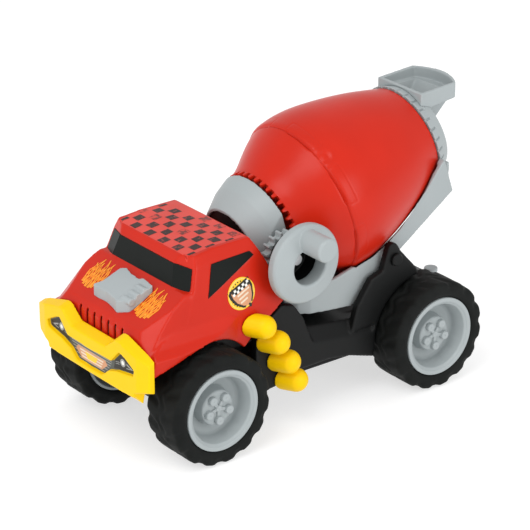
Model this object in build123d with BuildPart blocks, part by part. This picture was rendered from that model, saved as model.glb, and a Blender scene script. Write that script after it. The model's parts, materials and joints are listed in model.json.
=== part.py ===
"""Toy cement mixer truck: a red cab on a black chassis, with a crank-driven drum on a tipping cradle.

Frame, in millimetres: the origin is on the ground, midway between the axles; +Z is up, the truck
drives towards -Y, and its left side, which carries the crank, is +X.
"""
from math import atan2, cos, degrees, radians, sin
from build123d import *
import os

os.makedirs("parts", exist_ok=True)

# ---- Driving dimensions -------------------------------------------------------------------------
wheelbase = 175.0
tyre_r = 36.8
axle_z = tyre_r
tyre_in_x, tyre_out_x = 37.6, 69.3  # inner and outer faces of a tyre
rim_r = 26.7  # the rim's barrel, and the bore of its tyre
axle_r = 2.0
running = 0.06  # radial clearance of a shaft in its hole
loose = 0.3  # gap between large round faces that turn on each other
wheel_gap = 2.0  # between a tyre and the bodywork round it

drum_tilt = 16.08  # the drum's axis rises this many degrees towards the rear
drum_y, drum_z = -6.48, 115.87  # where the axis passes the drum's front edge
seam_s = 34.8  # distances along the drum's axis: the front edge is 0
drum_end_s = 122.0
ring_s0, ring_s1 = 122.8, 134.0  # the ring that carries the drum's neck
neck_r = 27.0
shell_t = 2.0  # wall of the drum

crown_teeth = 40
pinion_teeth = 15
crown_in_r, crown_out_r = 34.0, 37.0
tooth_tip, tooth_root = 1.5, 3.1  # widths of a gear tooth
addendum, dedendum = 1.4, 1.9
pitch_s = 2.7  # the crown teeth's pitch line

shaft_r = 3.0
crank_x0, crank_x1 = 54.0, 62.6  # back and front of the crank's disc
crank_r = 26.0
crank_lip_x = 65.0  # the face's highest ring, round the finger hole
finger_r = 12.3  # the crank's finger hole
handle_r, handle_x, handle_up = 7.8, 82.8, 16.2

pivot_y, pivot_z = 65.0, 91.0  # the cradle tips about this line
pivot_r = 2.5
cradle_x = 42.0  # half width of the cradle
cradle_t = 3.0

cab_wall = 2.2
side_x = 50.0  # half width of the chassis skirts
spine_x = 34.5  # half width of the chassis between the wheels
deck_z = 61.7

# ---- Frames and small helpers -------------------------------------------------------------------
tilt = radians(drum_tilt)
drum_o = Vector(0, drum_y, drum_z)
drum_d = Vector(0, cos(tilt), sin(tilt))  # along the axis, towards the rear
drum_axis = Axis(drum_o, drum_d)
drum_side = Plane(origin=drum_o, x_dir=drum_d, z_dir=(1, 0, 0))  # local x along the axis, y up

pinion_r = pinion_teeth * (crown_in_r + crown_out_r) / 2 / crown_teeth  # pitch radius
crank_c = drum_o - drum_d * (pinion_r - pitch_s)


def across_drum(s):
    """The plane square to the drum's axis at distance s along it, with local y up."""
    return Plane(origin=drum_o + drum_d * s, x_dir=(-1, 0, 0), z_dir=drum_d)


def across_truck(x, y=0.0, z=0.0):
    """A plane X = x with its origin at y, z: local x is Y, local y is Z."""
    return Plane(origin=(x, y, z), x_dir=(0, 1, 0), z_dir=(1, 0, 0))


def facing_front(y):
    """The plane Y = y with local x as X and local y as Z; extruding from it goes towards -Y."""
    return Plane.XZ.offset(-y)


def on_crank(x):
    """The point of the crank's axis at X = x."""
    return Vector(x, crank_c.Y, crank_c.Z)


def mirrored(half):
    """Closes a half outline, given from its top centre to its bottom centre, by its mirror image."""
    return half + [(-x, z) for x, z in reversed(half) if x]


def revolved(outline):
    """A solid of revolution about the drum's axis; the outline is (along the axis, radius)."""
    with BuildPart() as ring:
        with BuildSketch(drum_side):
            Polygon(*outline, align=None)
        revolve(axis=drum_axis)
    return ring.part


def rod(start, direction, length, radius):
    """A plain cylinder from start along direction."""
    with BuildPart() as bar:
        with BuildSketch(Plane(origin=start, z_dir=direction)):
            Circle(radius)
        extrude(amount=length)
    return bar.part


def prism(plane, outline, length, inset=0.0):
    """The outline, drawn inset on the plane, pushed along the plane's normal."""
    with BuildPart() as slab:
        with BuildSketch(plane):
            Polygon(*outline, align=None)
            if inset:
                offset(amount=-inset, kind=Kind.INTERSECTION)
        extrude(amount=length)
    return slab.part


def side_prism(outline, inset=0.0):
    """An outline in (Y, Z) as a slab right across the truck."""
    return prism(across_truck(-70.0), outline, 140.0, inset)


def front_prism(half, inset=0.0, y0=-150.0, y1=0.0):
    """A mirrored half outline in (X, Z) as a prism along the truck."""
    return prism(facing_front(y1), mirrored(half), y1 - y0, inset)


def top_prism(half, inset=0.0):
    """A mirrored half outline of the plan, in (X, Y), as a prism upwards."""
    return prism(Plane.XY.offset(40.0), mirrored(half), 160.0, inset)


def save(builder, name):
    """Labels a finished piece and writes it under its own name."""
    builder.part.label = name
    export_step(builder.part, f"parts/{name}.step")


# ---- Wheels -------------------------------------------------------------------------------------
def wheel_plane(side, y):
    """The plane through an axle in which a wheel's section lies: local x outwards, local y up."""
    return Plane(origin=(0, y, axle_z), x_dir=(side, 0, 0), z_dir=(0, -side, 0))


def make_tyre(name, side, y):
    """A fat tyre with square shoulders."""
    shoulder = 5.0
    flat = tyre_r - shoulder
    turn = shoulder * (1 - cos(radians(45)))
    tuck = 1.2  # the sidewall draws in by this at the rim
    with BuildPart() as tyre:
        with BuildSketch(wheel_plane(side, y)):
            with BuildLine():
                Polyline((tyre_in_x, flat), (tyre_in_x, rim_r + 2.5), (tyre_in_x + tuck, rim_r),
                         (tyre_out_x - tuck, rim_r), (tyre_out_x, rim_r + 2.5), (tyre_out_x, flat))
                ThreePointArc((tyre_out_x, flat), (tyre_out_x - turn, tyre_r - turn),
                              (tyre_out_x - shoulder, tyre_r))
                Line((tyre_out_x - shoulder, tyre_r), (tyre_in_x + shoulder, tyre_r))
                ThreePointArc((tyre_in_x + shoulder, tyre_r), (tyre_in_x + turn, tyre_r - turn),
                              (tyre_in_x, flat))
            make_face()
        revolve(axis=Axis((0, y, axle_z), (1, 0, 0)))
    save(tyre, name)


rim_hub_x, rim_face_x = 35.6, 69.1
rim_web_x, rim_boss_x = 54.5, 61.0
rim_boss_r = 11.5
lug_count, lug_circle_r, lug_r, lug_h = 5, 7.4, 2.5, 2.4


def make_rim(name, side, y):
    """A deep-dished rim with a hub boss and five lug nuts."""
    with BuildPart() as rim:
        with BuildSketch(wheel_plane(side, y)):
            Polygon((rim_hub_x, axle_r), (rim_hub_x, 5.0), (rim_web_x - 2.5, 5.0),
                    (rim_web_x - 2.5, 24.0), (39.0, 24.6), (39.0, rim_r), (rim_face_x, rim_r),
                    (rim_face_x, 23.0), (rim_face_x - 1.5, 21.6), (rim_web_x + 1.5, 19.0),
                    (rim_web_x, 17.5), (rim_web_x, rim_boss_r + 0.5),
                    (rim_boss_x - 1.0, rim_boss_r), (rim_boss_x, rim_boss_r - 1.0),
                    (rim_boss_x, axle_r), align=None)
        revolve(axis=Axis((0, y, axle_z), (1, 0, 0)))
        with BuildSketch(Plane(origin=(side * rim_boss_x, y, axle_z), z_dir=(side, 0, 0))):
            with PolarLocations(lug_circle_r, lug_count):
                Circle(lug_r)
        extrude(amount=lug_h)
    save(rim, name)


for end, y in (("front", -wheelbase / 2), ("rear", wheelbase / 2)):
    for hand, side in (("left", 1), ("right", -1)):
        make_tyre(f"{end}_tyre_{hand}", side, y)
        make_rim(f"{end}_rim_{hand}", side, y)
    with BuildPart() as axle:
        add(rod((-60.0, y, axle_z), (1, 0, 0), 120.0, axle_r))
        chamfer(axle.edges().filter_by(GeomType.CIRCLE), 0.4)
    save(axle, f"{end}_axle")

# ---- Cab ----------------------------------------------------------------------------------------
arch_r = 40.8  # the wheel arches in the fenders
screen_foot = (-98.4, 109.4)  # side-view points, as (Y, Z)
screen_head = (-94.3, 123.7)
hood_lip = (-127.5, 91.0)


def cabin_block(inset):
    """The cabin above and behind the windscreen, with its outer faces moved in by inset."""
    with BuildPart() as block:
        add(side_prism([(-98.6, 84.0), screen_foot, screen_head, (-91.0, 129.3), (-68.0, 131.9),
                        (-44.6, 131.8), (-35.4, 114.6), (-24.4, 87.5), (-37.0, 79.0),
                        (-50.0, 69.5), (-62.0, 68.0)], inset))
        add(front_prism([(0, 132.6), (39.0, 131.4), (43.3, 123.5), (46.8, 108.0), (49.4, 88.0),
                         (side_x, 60.0), (0, 60.0)], inset), mode=Mode.INTERSECT)
        for side in (1, -1):
            corner = Vector(side * 32.0, *screen_foot)
            outer_foot = Vector(side * 44.5, -94.0, 108.0)
            outer_head = Vector(side * 41.5, -89.3, 123.2)
            outwards = (outer_foot - corner).cross(outer_head - corner) * side
            facet = Plane(origin=corner, z_dir=outwards)
            split(bisect_by=facet.offset(-inset), keep=Keep.BOTTOM)
    return block.part


def hood_block(inset):
    """The sloping hood, its shoulders and the nose under it."""
    with BuildPart() as block:
        add(side_prism([(-78.0, 60.0), (-78.0, 109.4), screen_foot, hood_lip, (-130.0, 86.0),
                        (-130.8, 58.0)], inset))
        add(front_prism([(0, 112.0), (45.2, 110.0), (46.8, 106.0), (49.0, 90.0), (52.2, 76.0),
                         (52.6, 56.0), (0, 56.0)], inset), mode=Mode.INTERSECT)
        for side in (1, -1):
            # a slanting shoulder from the hood's crease down to the fender
            crease = Vector(side * 46.0, -110.7, 101.6)
            front_end = Vector(side * 40.2, -125.1, 92.7)
            foot = Vector(side * 51.4, -127.0, 81.2)
            outwards = (front_end - crease).cross(foot - crease) * side
            split(bisect_by=Plane(origin=crease, z_dir=outwards).offset(-inset), keep=Keep.BOTTOM)
    return block.part


def fender_block(inset):
    """The pair of flared fenders over the front wheels, down to the bumper."""
    with BuildPart() as block:
        add(side_prism([(-56.0, 64.0), (-50.0, 70.0), (-62.0, 86.0), (-80.0, 92.0),
                        (-106.0, 90.0), (-120.0, 85.0), (-128.0, 80.0), (-131.3, 72.0),
                        (-130.5, 57.0), (-118.0, 56.0)], inset))
        add(top_prism([(0, -48.0), (side_x, -48.0), (side_x, -62.0), (53.6, -76.0), (57.2, -94.0),
                       (58.0, -112.0), (57.6, -132.0), (0, -132.0)], inset), mode=Mode.INTERSECT)
        add(front_prism([(0, 96.0), (47.6, 96.0), (49.6, 88.0), (53.0, 81.0), (58.4, 76.5),
                         (58.4, 56.0), (0, 56.0)], inset), mode=Mode.INTERSECT)
    return block.part


def cabin_skin(outer, inner):
    """The cabin's skin between two depths, from which windows and stickers are cut."""
    with BuildPart() as skin:
        add(cabin_block(outer))
        add(cabin_block(inner), mode=Mode.SUBTRACT)
    return skin.part


glass_skin = cabin_skin(-0.15, 0.8)
sticker_skin = cabin_skin(-0.2, 0.25)

with BuildPart() as windscreen:
    add(glass_skin)
    add(front_prism([(0, 123.5), (31.0, 123.5), (41.2, 122.4), (44.2, 108.4), (32.4, 110.2),
                     (0, 110.2)], y0=-104.0, y1=-85.0), mode=Mode.INTERSECT)
save(windscreen, "windscreen")

window_outline = [(-76.8, 123.2), (-47.4, 124.2), (-44.9, 121.4), (-82.4, 103.2)]
badge_at, badge_r = (-57.5, 100.0), 10.3
set_in_cab = [windscreen.part]
for hand, side in (("left", 1), ("right", -1)):
    side_slab = across_truck(36.0 if side > 0 else -56.0)
    with BuildPart() as window:
        add(glass_skin)
        add(prism(side_slab, window_outline, 20.0), mode=Mode.INTERSECT)
    save(window, f"side_window_{hand}")
    with BuildPart() as badge:
        add(sticker_skin)
        add(rod(side_slab.from_local_coords(Vector(*badge_at, 0)), (1, 0, 0), 20.0, badge_r),
            mode=Mode.INTERSECT)
    save(badge, f"badge_{hand}")
    set_in_cab += [window.part, badge.part]

# the engine's plan, in (X, Y); its walls are upright and its top slopes less than the hood
engine_plan = [(-13.5, -105.0), (-9.5, -102.8), (-2.0, -104.7), (7.0, -105.2), (9.5, -103.4),
               (21.1, -105.0), (20.8, -111.6), (19.6, -118.4), (18.5, -121.0), (10.2, -124.6),
               (4.5, -123.4), (-4.5, -122.2), (-12.3, -122.7), (-18.2, -122.4), (-14.6, -117.4),
               (-14.1, -110.4)]
engine_side = [(-100.0, 111.1), (-128.0, 98.8), (-128.0, 89.3), (-100.0, 107.0)]
manifold_r, manifold_x0, manifold_x1 = 2.4, 12.5, 20.4
manifold_spots = [(-119.9, 101.2), (-114.8, 103.4), (-109.6, 105.7)]

with BuildPart() as engine:
    add(prism(Plane.XY.offset(80.0), engine_plan, 40.0))
    add(side_prism(engine_side), mode=Mode.INTERSECT)
    for y, z in manifold_spots:
        add(rod((manifold_x0, y, z), (1, 0, 0), manifold_x1 - manifold_x0, manifold_r))
        with Locations((manifold_x0, y, z)):
            Sphere(manifold_r)
save(engine, "hood_engine")

grille_slots, slot_pitch = 7, 7.5
post_r = 4.0
with BuildPart() as cab:
    add(cabin_block(0))
    add(hood_block(0))
    add(fender_block(0))
    add(cabin_block(cab_wall), mode=Mode.SUBTRACT)
    add(hood_block(cab_wall), mode=Mode.SUBTRACT)
    add(fender_block(cab_wall), mode=Mode.SUBTRACT)
    # the shell is open below, and has no walls where its blocks meet
    add(prism(Plane.XY.offset(50.0), mirrored([(0, -46.0), (46.4, -46.0), (46.4, -112.0),
                                               (38.0, -128.0), (0, -128.0)]),
              36.0), mode=Mode.SUBTRACT)
    # two posts carry the cab on the chassis
    for side in (1, -1):
        add(rod((side * 24.0, -108.0, 56.0), (0, 0, 1), 44.0, post_r))
    add(rod((-70.0, -wheelbase / 2, axle_z), (1, 0, 0), 140.0, arch_r), mode=Mode.SUBTRACT)
    # in front of the wheels the fenders end in a nearly level edge
    for x in (-70.0, 46.0):
        add(prism(across_truck(x), [(-103.5, 75.0), (-132.0, 66.5), (-132.0, 50.0), (-100.0, 50.0)],
                  24.0), mode=Mode.SUBTRACT)
    for piece in set_in_cab:
        add(piece, mode=Mode.SUBTRACT)
    add(engine.part, mode=Mode.SUBTRACT)
    with BuildSketch(facing_front(-120.0)):
        with Locations((0, 82.0)):
            with GridLocations(slot_pitch, 1, grille_slots, 1):
                SlotOverall(11.5, 1.8, rotation=90)
    extrude(amount=14.0, mode=Mode.SUBTRACT)
save(cab, "cab_shell")

# ---- Bumper and its headlight label -------------------------------------------------------------
bumper_half = [(0, 79.2), (17.5, 79.2), (28.0, 87.4), (32.5, 87.8), (53.2, 82.0), (61.5, 78.6),
               (62.5, 70.0), (60.5, 58.5), (48.8, 54.0), (47.0, 46.4), (0, 46.4)]
label_half = [(0, 68.3), (23.7, 69.0), (32.4, 77.9), (36.0, 77.0), (47.3, 71.0), (46.2, 66.8),
              (30.0, 64.4), (20.5, 61.4), (14.0, 56.0), (0, 55.5)]
bumper_back_y, bumper_front_y = -131.4, -139.5
bumper_taper = 18.0  # its outline shrinks towards the front at this angle
label_recess, label_t = 2.4, 0.4


def bumper_front(set_back):
    """Everything behind the bumper's gently bowed front face."""
    with BuildPart() as block:
        with BuildSketch(Plane.XY.offset(40.0)):
            with BuildLine():
                Polyline((-50.0, -138.6 + set_back), (-60.2, -136.0 + set_back),
                         (-59.4, bumper_back_y), (59.4, bumper_back_y),
                         (60.2, -136.0 + set_back), (50.0, -138.6 + set_back))
                ThreePointArc((50.0, -138.6 + set_back), (0, bumper_front_y + set_back),
                              (-50.0, -138.6 + set_back))
            make_face()
        extrude(amount=60.0)
    return block.part


with BuildPart() as label:
    add(bumper_front(label_recess))
    add(bumper_front(label_recess + label_t), mode=Mode.SUBTRACT)
    add(front_prism(label_half), mode=Mode.INTERSECT)
save(label, "headlight_label")

with BuildPart() as label_pocket:
    add(front_prism(label_half, y0=-150.0, y1=-133.0))
    add(bumper_front(label_recess + label_t), mode=Mode.SUBTRACT)

with BuildPart() as bumper:
    with BuildSketch(facing_front(bumper_back_y)):
        Polygon(*mirrored(bumper_half), align=None)
    extrude(amount=10.0, taper=bumper_taper)
    add(bumper_front(0), mode=Mode.INTERSECT)
    # the lip below slopes back
    add(side_prism([(-150.0, 100.0), (-150.0, 52.4), (-136.5, 52.4), (bumper_back_y, 46.4),
                    (-120.0, 46.4), (-120.0, 100.0)]), mode=Mode.INTERSECT)
    add(label_pocket.part, mode=Mode.SUBTRACT)
save(bumper, "bumper")

# ---- Exhaust stacks -----------------------------------------------------------------------------
stack_tips = [(-46.7, 77.5), (-35.9, 63.9), (-27.5, 48.4), (-21.5, 33.9)]
stack_r, stack_tip_x, stack_length = 7.7, 57.0, 14.0
for hand, side in (("left", 1), ("right", -1)):
    outwards = Vector(side * 0.87, 0.49, 0).normalized()
    with BuildPart() as stack:
        # a thin web behind the capsules joins them
        add(prism(across_truck(side_x + 0.2 if side > 0 else -side_x - 1.2),
                  [(y - 4.0, z - 3.0) for y, z in stack_tips]
                  + [(y + 2.0, z + 3.0) for y, z in reversed(stack_tips)], 1.0))
        for y, z in stack_tips:
            tip = Vector(side * stack_tip_x, y, z)
            add(rod(tip - outwards * stack_length, outwards, stack_length, stack_r))
            with Locations(tip):
                Sphere(stack_r)
        with Locations((0, -40.0, 60.0)):
            Box(2 * (side_x + 0.2), 120.0, 120.0, mode=Mode.SUBTRACT)
    save(stack, f"exhaust_stack_{hand}")

# ---- Chassis ------------------------------------------------------------------------------------
spine_z0, spine_z1 = 24.0, 56.0
spine_front_y, tail_y = -126.0, 127.0
skirt_t = 2.5
fender_r, fender_t = tyre_r + wheel_gap, 2.6
ear_x = 44.6  # inner face of the ears, which carry the cradle's pivots
deck_y0, deck_y1 = -3.0, 48.0
deck_fall = 0.12  # the deck falls this much per millimetre towards the rear
deck_half = [(0, deck_z), (44.0, deck_z), (side_x, 52.0), (side_x, 15.0), (0, 15.0)]
skirt_outline = [(deck_y0 - 3.0, 70.0), (deck_y1, 70.0), (deck_y1, 27.0), (28.0, 33.3),
                 (11.0, 36.0), (deck_y0 - 3.0, 35.8)]
block_outline = [(-48.0, 68.0), (-37.5, 76.5), (-26.5, 84.4), (-17.5, 81.5), (-10.0, 71.0),
                 (-2.0, 51.0), (-2.0, 35.8), (-11.0, 35.5), (-30.0, 30.0), (-48.0, 27.0)]
ear_outline = [(29.0, 50.0), (34.0, 66.5), (42.0, 77.5), (45.5, 82.2), (54.6, 85.2),
               (56.0, 90.5), (59.8, 101.0), (62.5, 102.8), (66.0, 101.5), (69.5, 95.7),
               (83.4, 80.0), (84.0, 74.0), (60.0, 50.0)]
screw_spots = [(0, -68.0), (0, 104.0), (24.0, 0), (-24.0, 0)]
screw_r, screw_head_r = 1.4, 2.8
plate_t = 2.4
plate_y0, plate_y1 = -95.5, 117.0


def deck_section(drop):
    """The deck's cross-section less its wall, carried backwards along its gentle fall."""
    with BuildSketch(facing_front(deck_y0 - 10.0)) as section:
        Polygon(*mirrored([(x - drop if x else 0, z - drop) for x, z in deck_half]), align=None)
    return extrude(section.sketch, amount=80.0, dir=(0, 1, -deck_fall))


skirt_outer, skirt_inner = deck_section(0), deck_section(skirt_t)
with BuildPart() as skirts:
    add(side_prism(skirt_outline))
    add(skirt_outer, mode=Mode.INTERSECT)
    add(skirt_inner, mode=Mode.SUBTRACT)

arch_window = [(0, 0), (-70.0, -10.0), (-70.0, 70.0), (-6.0, 70.0)]
with BuildPart() as chassis:
    add(prism(across_truck(-spine_x),
              [(spine_front_y, 51.0), (-102.0, 44.0), (-98.0, spine_z0), (tail_y - 8.0, spine_z0),
               (tail_y, 32.0), (tail_y, 52.0), (118.0, spine_z1), (spine_front_y, spine_z1)],
              2 * spine_x))
    with BuildSketch(Plane.XY.offset(spine_z0 - 1.0)):
        with Locations((0, (plate_y0 + plate_y1) / 2)):
            Rectangle(2 * (spine_x - skirt_t), plate_y1 - plate_y0)
    extrude(amount=spine_z1 - skirt_t - spine_z0 + 1.0, mode=Mode.SUBTRACT)
    add(skirts.part)
    for side in (1, -1):
        # the spine's wall is carried up to the deck
        inner_wall = across_truck(spine_x - skirt_t if side > 0 else -spine_x)
        add(prism(inner_wall, [(-48.0, 50.0), (-48.0, 56.0), (-2.0, 60.0), (48.0, 54.5),
                               (48.0, 50.0)], skirt_t))
        # full-height blocks behind the cab, and the ears behind them
        plate = across_truck(ear_x if side > 0 else -side_x)
        add(prism(plate, block_outline, side_x - ear_x))
        add(prism(plate, ear_outline, side_x - ear_x))
        # floor between the spine and the block
        with Locations((side * (spine_x + side_x) / 2, -25.0, 50.0)):
            Box(side_x - spine_x, 46.0, skirt_t)
        # arch over the inner half of the rear tyre
        arch_plane = across_truck(spine_x - 1.0 if side > 0 else -side_x, wheelbase / 2, axle_z)
        with BuildSketch(arch_plane):
            Circle(fender_r + fender_t)
            Polygon(*arch_window, align=None, mode=Mode.INTERSECT)
        extrude(amount=side_x - spine_x + 1.0)
        for y in (-wheelbase / 2, wheelbase / 2):
            add(rod((side * (spine_x + 0.01), y, axle_z), (side, 0, 0), 30.0, fender_r),
                mode=Mode.SUBTRACT)
    for y in (-wheelbase / 2, wheelbase / 2):
        add(rod((-40, y, axle_z), (1, 0, 0), 80, axle_r + running), mode=Mode.SUBTRACT)
    add(rod((-60, pivot_y, pivot_z), (1, 0, 0), 120, pivot_r + running), mode=Mode.SUBTRACT)
    for x, y in screw_spots:
        add(rod((x, y, spine_z0 + plate_t - 0.8), (0, 0, 1), spine_z1 - spine_z0 - plate_t, 3.6))
        add(rod((x, y, spine_z0), (0, 0, 1), 14.0, screw_r), mode=Mode.SUBTRACT)
save(chassis, "chassis_frame")

plate_z = spine_z0 - 0.8
with BuildPart() as base_plate:
    with BuildSketch(Plane.XY.offset(plate_z)):
        with Locations((0, (plate_y0 + plate_y1) / 2)):
            Rectangle(2 * (spine_x - skirt_t - 0.2), plate_y1 - plate_y0 - 0.4)
    extrude(amount=plate_t)
    for x, y in screw_spots:
        add(rod((x, y, plate_z), (0, 0, 1), plate_t, screw_r), mode=Mode.SUBTRACT)
        add(rod((x, y, plate_z), (0, 0, 1), 1.4, screw_head_r), mode=Mode.SUBTRACT)
save(base_plate, "base_plate")

with BuildPart() as screws:
    for x, y in screw_spots:
        add(rod((x, y, plate_z + 0.2), (0, 0, 1), 1.2, screw_head_r))
        add(rod((x, y, plate_z + 1.4), (0, 0, 1), 10.0, screw_r))
save(screws, "chassis_screws")

hook_y, hook_z0, hook_z1 = 139.0, 34.0, 48.4
with BuildPart() as hook:
    with BuildSketch(Plane.XY.offset(hook_z0)):
        with Locations((0, hook_y - 6.0)):
            SlotOverall(24.0, 9.0, rotation=90)
    extrude(amount=4.0)
    add(rod((0, hook_y, hook_z0), (0, 0, 1), hook_z1 - hook_z0, 3.0))
    add(rod((0, hook_y, hook_z1 - 3.0), (0, 0, 1), 3.0, 4.6))
    with Locations((0, tail_y - 10.0, 40.0)):
        Box(30.0, 20.0, 40.0, mode=Mode.SUBTRACT)
save(hook, "tow_hook")

# ---- Cradle, which tips -------------------------------------------------------------------------
drum_front = [(9.0, 38.4), (14.0, 41.0), (21.0, 45.4), (28.0, 49.4), (seam_s, 51.7)]
drum_rear = [(seam_s, 53.4), (36.2, 54.6), (50.0, 55.0), (62.0, 53.5), (80.0, 49.5),
             (100.0, 43.5), (drum_end_s, 35.1)]
room = 1.5  # round the turning drum
drum_room = revolved([(0.4, 0), (0.4, crown_out_r + room), (4.6, crown_out_r + room)]
                     + [(s, r + room) for s, r in drum_front + drum_rear]
                     + [(ring_s0, drum_rear[-1][1] + room), (ring_s0, 0)])
nose_outer = [(-23.5, 25.6), (-11.0, 33.0), (0, 37.0)]
nose_x = 30.7  # half width between its flat sides
nose_t = 2.2


def nose_block(inset):
    """The nose housing's cone with its flat sides, with its walls moved in by inset."""
    with BuildPart() as block:
        add(revolved([(nose_outer[0][0], 0)] + [(s, r - inset) for s, r in nose_outer]
                     + [(nose_outer[-1][0], 0)]))
        Box(2 * (nose_x - inset), 200.0, 400.0, mode=Mode.INTERSECT)
    return block.part


nose_solid = nose_block(0)
ring_outer = [(ring_s0, 36.5), (ring_s1, 31.2)]
ring_solid = revolved([(ring_s0, 0)] + ring_outer + [(ring_s1, 0)])

cradle_outline = [(-14.9, 81.7), (-4.5, 66.2), (35.5, 63.5), (42.0, 65.8), (63.5, 81.1),
                  (75.0, 92.0), (119.5, 122.5), (112.3, 145.4), (109.5, 143.6), (96.2, 127.6),
                  (83.6, 116.4), (75.0, 106.6), (61.0, 97.6), (23.0, 85.9), (2.0, 82.5)]
trough_outline = [(-13.0, 90.0), (-2.6, 69.2), (35.0, 66.5), (40.6, 68.5), (61.6, 83.4),
                  (73.2, 94.4), (114.3, 122.5), (110.0, 137.4), (100.0, 175.0), (-13.0, 130.0)]
boss_r = 5.5


def bow_half(inset):
    """Half the cradle's plan: its sides draw in to a rounded bow at the front."""
    return [(0, 130.0), (cradle_x - inset, 130.0), (cradle_x - inset, 40.0),
            (cradle_x - 1.2 - inset, 18.0), (39.2 - inset, 4.0), (35.8 - inset, -4.0),
            (29.0 - inset, -10.5 + inset), (20.0 - inset, -14.6 + inset), (0, -15.2 + inset)]


with BuildPart() as trough:
    add(side_prism(trough_outline))
    add(top_prism(bow_half(cradle_t)), mode=Mode.INTERSECT)

with BuildPart() as cradle:
    add(side_prism(cradle_outline))
    add(top_prism(bow_half(0)), mode=Mode.INTERSECT)
    add(trough.part, mode=Mode.SUBTRACT)
    for side in (1, -1):
        add(rod((side * cradle_x, pivot_y, pivot_z), (side, 0, 0), ear_x - cradle_x - loose,
                boss_r))
    # a saddle under the nose housing
    with Locations((0, -7.5, 76.0)):
        Box(26.0, 7.0, 18.0)
    add(drum_room, mode=Mode.SUBTRACT)
    add(nose_solid, mode=Mode.SUBTRACT)
    add(ring_solid, mode=Mode.SUBTRACT)
    add(rod((-60, pivot_y, pivot_z), (1, 0, 0), 120, pivot_r), mode=Mode.SUBTRACT)
save(cradle, "cradle_frame")

pin_head_r, pin_head_t = 4.2, 2.0
pin_x0, pin_x1 = cradle_x - cradle_t, side_x + loose
for hand, side in (("left", 1), ("right", -1)):
    with BuildPart() as pin:
        add(rod((side * pin_x0, pivot_y, pivot_z), (side, 0, 0), pin_x1 - pin_x0, pivot_r))
        add(rod((side * pin_x1, pivot_y, pivot_z), (side, 0, 0), pin_head_t, pin_head_r))
        rims = pin.edges().filter_by(GeomType.CIRCLE).sort_by(Axis.X)
        chamfer(rims[-1] if side > 0 else rims[0], 0.6)
    save(pin, f"pivot_pin_{hand}")

# ---- Nose housing: the drum's front bearing and the crank's -------------------------------------
bearing_x0, bearing_x1, bearing_r = 20.0, 32.6, 6.0
plug_s0, plug_s1 = -22.0, -19.5
plug_r = 23.4
with BuildPart() as nose:
    add(nose_solid)
    add(nose_block(nose_t), mode=Mode.SUBTRACT)
    # a lip in front seats the plug
    add(revolved([(plug_s1, plug_r - 2.0), (plug_s1, 27.0), (plug_s1 + 2.0, 28.3),
                  (plug_s1 + 2.0, plug_r - 2.0)]))
    add(rod(on_crank(bearing_x0), (1, 0, 0), bearing_x1 - bearing_x0, bearing_r))
    add(rod(on_crank(0), (1, 0, 0), 60.0, shaft_r + running), mode=Mode.SUBTRACT)
save(nose, "nose_housing")

pin_end_s, hub_s = 13.0, 15.0
with BuildPart() as plug:
    add(revolved([(plug_s0, shaft_r), (plug_s0, plug_r), (plug_s1, plug_r + 0.8),
                  (plug_s1, 9.0), (plug_s1 + 5.0, 7.0), (plug_s1 + 5.0, shaft_r)]))
save(plug, "nose_plug")
with BuildPart() as drum_pin:
    add(rod(drum_o + drum_d * plug_s0, drum_d, pin_end_s - plug_s0, shaft_r))
save(drum_pin, "drum_pin")

# ---- Rear ring and hopper -----------------------------------------------------------------------
ring_grooves = 30
groove_w, groove_d, groove_l = 1.4, 1.2, 6.0
ring_lean = degrees(atan2(ring_outer[0][1] - ring_outer[1][1], ring_s1 - ring_s0))
mouth_r = 24.0
flange_r, flange_t = 42.0, 2.4
with BuildPart() as groove:
    with Locations(Location((ring_outer[0][1], 0, 0), (0, -ring_lean, 0))):
        Box(2 * groove_d, groove_w, 2 * groove_l)
with BuildPart(across_drum(ring_s0)) as grooves:
    with PolarLocations(0, ring_grooves):
        add(groove.part)
with BuildPart() as ring:
    add(revolved(ring_outer + [(ring_s1, mouth_r), (130.5, mouth_r), (130.5, neck_r + loose),
                               (ring_s0, neck_r + loose)]))
    add(grooves.part, mode=Mode.SUBTRACT)
    # a half flange below, fixed to the cradle's arms
    with BuildSketch(across_drum(ring_s0 + 0.1)):
        Circle(flange_r)
        with Locations((0, -flange_r - 8.0)):
            Rectangle(2 * flange_r, 2 * flange_r, mode=Mode.INTERSECT)
        Circle(34.0, mode=Mode.SUBTRACT)
    extrude(amount=flange_t)
save(ring, "rear_ring")

rim_front_y, rim_back_y, rim_apex_y = 108.0, 137.2, 145.2
hopper_x = 21.8
chute_x = 16.6
tray_wall, tray_floor_z = 2.6, 179.6
with BuildPart() as funnel:
    with BuildSketch(Plane.XY.offset(tray_floor_z + 0.2)):
        Polygon((-17.0, 111.0), (17.0, 111.0), (17.0, 137.0), (-17.0, 137.0), align=None)
    with BuildSketch(across_drum(ring_s1 - 6.0)):
        Polygon((10.0, 19.0), (-10.0, 19.0), (-8.0, 6.5), (8.0, 6.5), align=None)
    loft(ruled=True)


def tray_block(inset, z):
    """The tray's rounded plan from z upwards, with its walls moved in by inset."""
    with BuildPart() as block:
        with BuildSketch(Plane.XY.offset(z)):
            with BuildLine():
                Polyline((-hopper_x + inset, rim_back_y), (-hopper_x + inset, rim_front_y + inset),
                         (hopper_x - inset, rim_front_y + inset), (hopper_x - inset, rim_back_y))
                ThreePointArc((hopper_x - inset, rim_back_y), (0, rim_apex_y - inset),
                              (-hopper_x + inset, rim_back_y))
            make_face()
        extrude(amount=40.0)
    return block.part


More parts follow.
